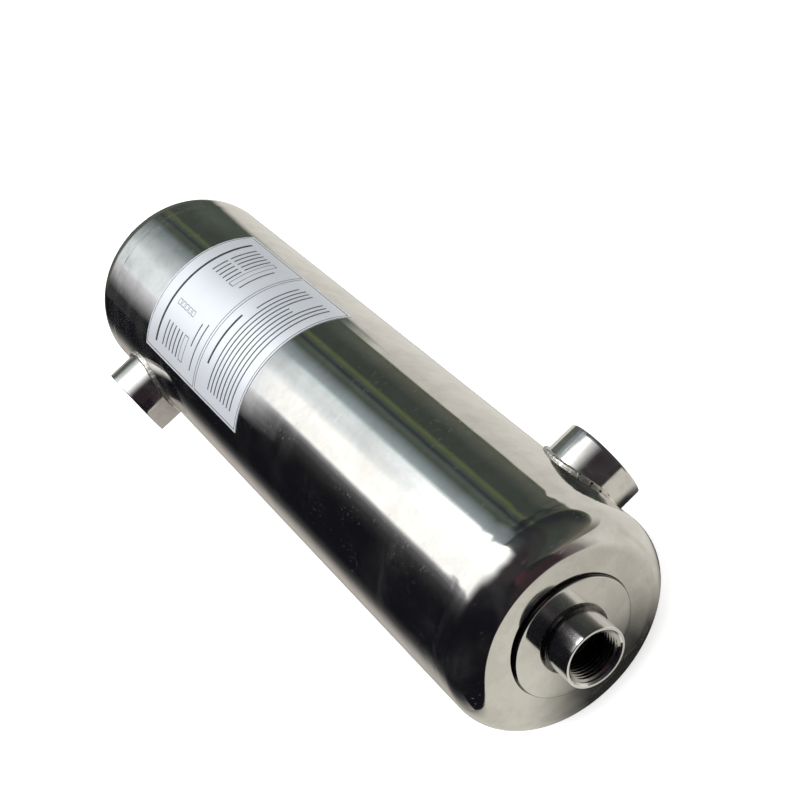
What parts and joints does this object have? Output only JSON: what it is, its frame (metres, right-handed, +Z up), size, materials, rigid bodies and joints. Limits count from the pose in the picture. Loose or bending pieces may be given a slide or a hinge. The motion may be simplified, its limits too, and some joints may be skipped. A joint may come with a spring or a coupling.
{
  "type": "shell and tube heat exchanger",
  "caption": "Polished stainless shell and tube heat exchanger: a round shell with drawn end caps, a threaded socket on the axis at each end and a threaded socket on the side near each end.",
  "frame": {"origin": "on the floor under the middle of the shell, at the centre of the bottom of the bounding box", "axes": "+X along the shell's axis towards the near end, +Y the way the near side socket points, +Z up"},
  "size_m": [0.544, 0.179, 0.1416],
  "materials": {
    "polished_steel": "mirror-polished stainless steel with fine scratches and smudges",
    "weld_steel": "brushed-over weld metal with dark pits",
    "inner_steel": "drawn stainless steel, dull",
    "label_foil": "satin silver foil with thin printed rules"
  },
  "bodies": {
    "root": {"shell_barrel": "polished_steel", "data_label": "label_foil", "near_end_cap": "polished_steel", "far_end_cap": "polished_steel", "near_girth_weld": "polished_steel", "far_girth_weld": "polished_steel", "near_header_plate": "polished_steel", "far_header_plate": "polished_steel", "near_header_sleeve": "inner_steel", "far_header_sleeve": "inner_steel", "near_axial_socket": "polished_steel", "far_axial_socket": "polished_steel", "near_axial_weld": "weld_steel", "far_axial_weld": "weld_steel", "near_side_socket": "polished_steel", "far_side_socket": "polished_steel", "near_side_weld": "weld_steel", "far_side_weld": "weld_steel", "near_tube_sheet": "inner_steel", "far_tube_sheet": "inner_steel", "tube_01": "inner_steel", "tube_02": "inner_steel", "tube_03": "inner_steel", "tube_04": "inner_steel", "tube_05": "inner_steel", "tube_06": "inner_steel", "tube_07": "inner_steel", "tube_08": "inner_steel", "tube_09": "inner_steel", "tube_10": "inner_steel", "tube_11": "inner_steel", "tube_12": "inner_steel", "tube_13": "inner_steel", "tube_14": "inner_steel", "tube_15": "inner_steel", "tube_16": "inner_steel", "tube_17": "inner_steel", "tube_18": "inner_steel", "tube_19": "inner_steel"}
  },
  "joints": []
}
